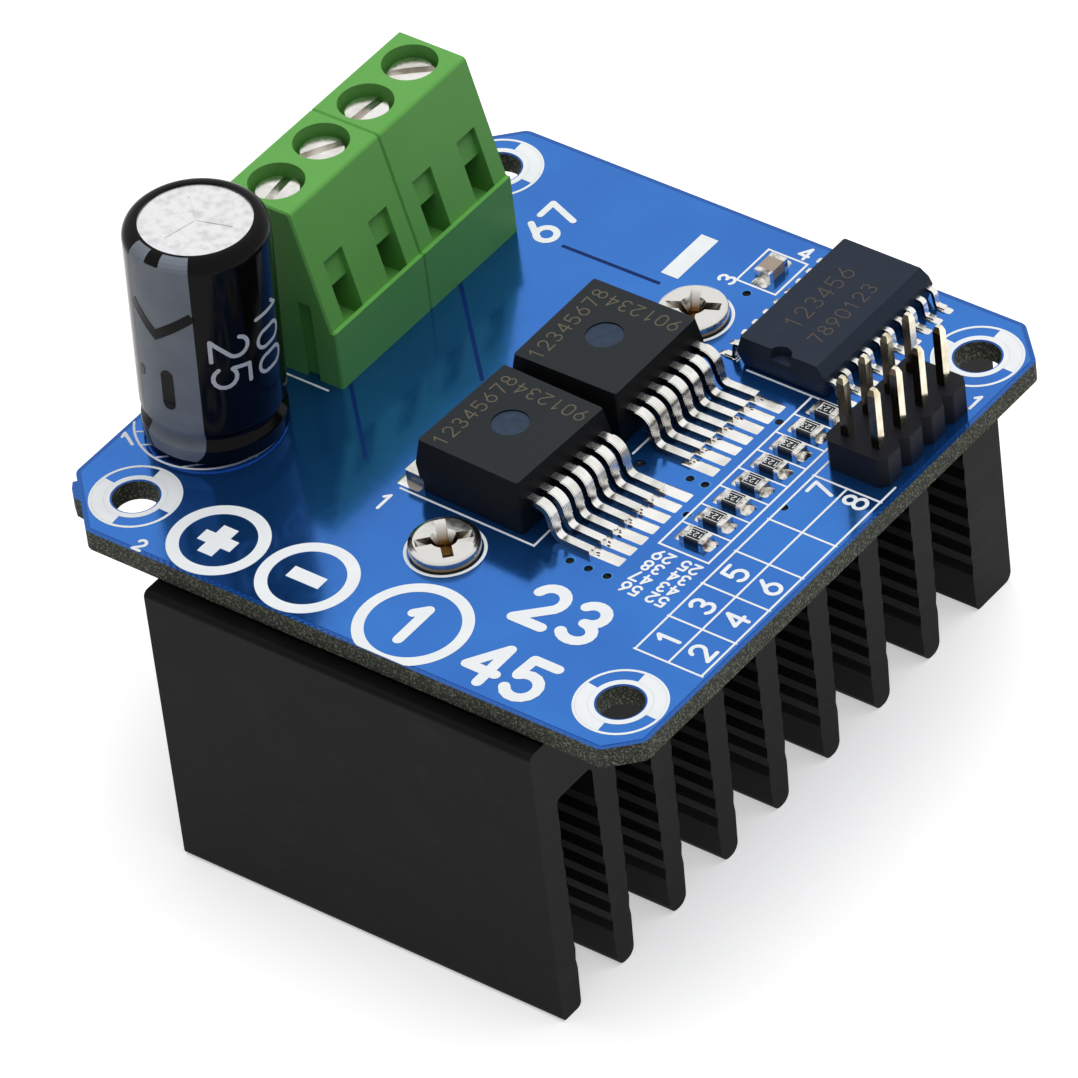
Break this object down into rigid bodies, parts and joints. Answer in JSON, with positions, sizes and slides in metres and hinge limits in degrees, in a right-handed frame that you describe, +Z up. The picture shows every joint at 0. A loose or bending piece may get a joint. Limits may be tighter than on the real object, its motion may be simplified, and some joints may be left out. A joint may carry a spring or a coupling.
{
  "type": "motor driver module",
  "caption": "Square blue circuit board with power chips, pin header, can capacitor and green screw terminals on a black finned heatsink.",
  "frame": {"origin": "middle of the board in plan, at the tips of the heatsink's fins", "axes": "+Z up out of the board's component side, +X along the board's front edge towards the pin header side, +Y towards the buffer chip's end; the heatsink's fins run along X"},
  "size_m": [0.05, 0.0528, 0.0437],
  "materials": {
    "solder_mask": "blue solder mask over glass fibre laminate",
    "black_anodised": "black anodised aluminium extrusion",
    "silicone_pad": "matt grey silicone sheet",
    "plated_steel": "bright zinc plate",
    "moulding_compound": "fine grained black epoxy",
    "tinned_copper": "bright tin plate",
    "black_nylon": "satin black moulding",
    "gold_plate": "thin gold plate",
    "resistor_glaze": "black glaze",
    "tan_ceramic": "fired ceramic",
    "bare_aluminium": "bare drawn aluminium",
    "black_sleeve": "glossy shrunk sleeve",
    "bung_rubber": "matt rubber",
    "green_nylon": "satin green moulding",
    "nickel_plate": "bright nickel plate"
  },
  "bodies": {
    "module": {"circuit_board": "solder_mask", "heatsink": "black_anodised", "thermal_pad": "silicone_pad", "heatsink_screws": "plated_steel", "power_chip_front_body": "moulding_compound", "power_chip_front_heat_tab": "tinned_copper", "power_chip_front_leads": "tinned_copper", "power_chip_back_body": "moulding_compound", "power_chip_back_heat_tab": "tinned_copper", "power_chip_back_leads": "tinned_copper", "buffer_chip_body": "moulding_compound", "buffer_chip_leads": "tinned_copper", "header_base": "black_nylon", "header_pins": "gold_plate", "resistor_bodies": "resistor_glaze", "resistor_end_caps": "tinned_copper", "chip_capacitor_body": "tan_ceramic", "chip_capacitor_end_caps": "tinned_copper", "capacitor_can": "bare_aluminium", "capacitor_sleeve": "black_sleeve", "capacitor_bung": "bung_rubber", "capacitor_leads": "tinned_copper", "terminal_block_front": "green_nylon", "terminal_block_back": "green_nylon", "terminal_contacts": "tinned_copper"},
    "clamp_screw_1": {"clamp_screw_1": "nickel_plate"},
    "clamp_cage_1": {"clamp_cage_1": "nickel_plate"},
    "clamp_screw_2": {"clamp_screw_2": "nickel_plate"},
    "clamp_cage_2": {"clamp_cage_2": "nickel_plate"},
    "clamp_screw_3": {"clamp_screw_3": "nickel_plate"},
    "clamp_cage_3": {"clamp_cage_3": "nickel_plate"},
    "clamp_screw_4": {"clamp_screw_4": "nickel_plate"},
    "clamp_cage_4": {"clamp_cage_4": "nickel_plate"}
  },
  "joints": [
    {"name": "clamp_screw_1_turn", "type": "hinge", "parent": "module", "child": "clamp_screw_1", "pos_m": [-0.0201, -0.00185, 0.0345], "axis": [0, 0, 1], "range_deg": [-1440, 0]},
    {"name": "clamp_cage_1_rise", "type": "slide", "parent": "module", "child": "clamp_cage_1", "axis": [0, 0, 1], "range_m": [0, 0.0018]},
    {"name": "clamp_screw_2_turn", "type": "hinge", "parent": "module", "child": "clamp_screw_2", "pos_m": [-0.0201, 0.00315, 0.0345], "axis": [0, 0, 1], "range_deg": [-1440, 0]},
    {"name": "clamp_cage_2_rise", "type": "slide", "parent": "module", "child": "clamp_cage_2", "axis": [0, 0, 1], "range_m": [0, 0.0018]},
    {"name": "clamp_screw_3_turn", "type": "hinge", "parent": "module", "child": "clamp_screw_3", "pos_m": [-0.0201, 0.00815, 0.0345], "axis": [0, 0, 1], "range_deg": [-1440, 0]},
    {"name": "clamp_cage_3_rise", "type": "slide", "parent": "module", "child": "clamp_cage_3", "axis": [0, 0, 1], "range_m": [0, 0.0018]},
    {"name": "clamp_screw_4_turn", "type": "hinge", "parent": "module", "child": "clamp_screw_4", "pos_m": [-0.0201, 0.01315, 0.0345], "axis": [0, 0, 1], "range_deg": [-1440, 0]},
    {"name": "clamp_cage_4_rise", "type": "slide", "parent": "module", "child": "clamp_cage_4", "axis": [0, 0, 1], "range_m": [0, 0.0018]}
  ],
  "couplings": [
    {"joint": "clamp_screw_1_turn", "follows": "clamp_cage_1_rise", "rad_per_m": -13963},
    {"joint": "clamp_screw_2_turn", "follows": "clamp_cage_2_rise", "rad_per_m": -13963},
    {"joint": "clamp_screw_3_turn", "follows": "clamp_cage_3_rise", "rad_per_m": -13963},
    {"joint": "clamp_screw_4_turn", "follows": "clamp_cage_4_rise", "rad_per_m": -13963}
  ]
}
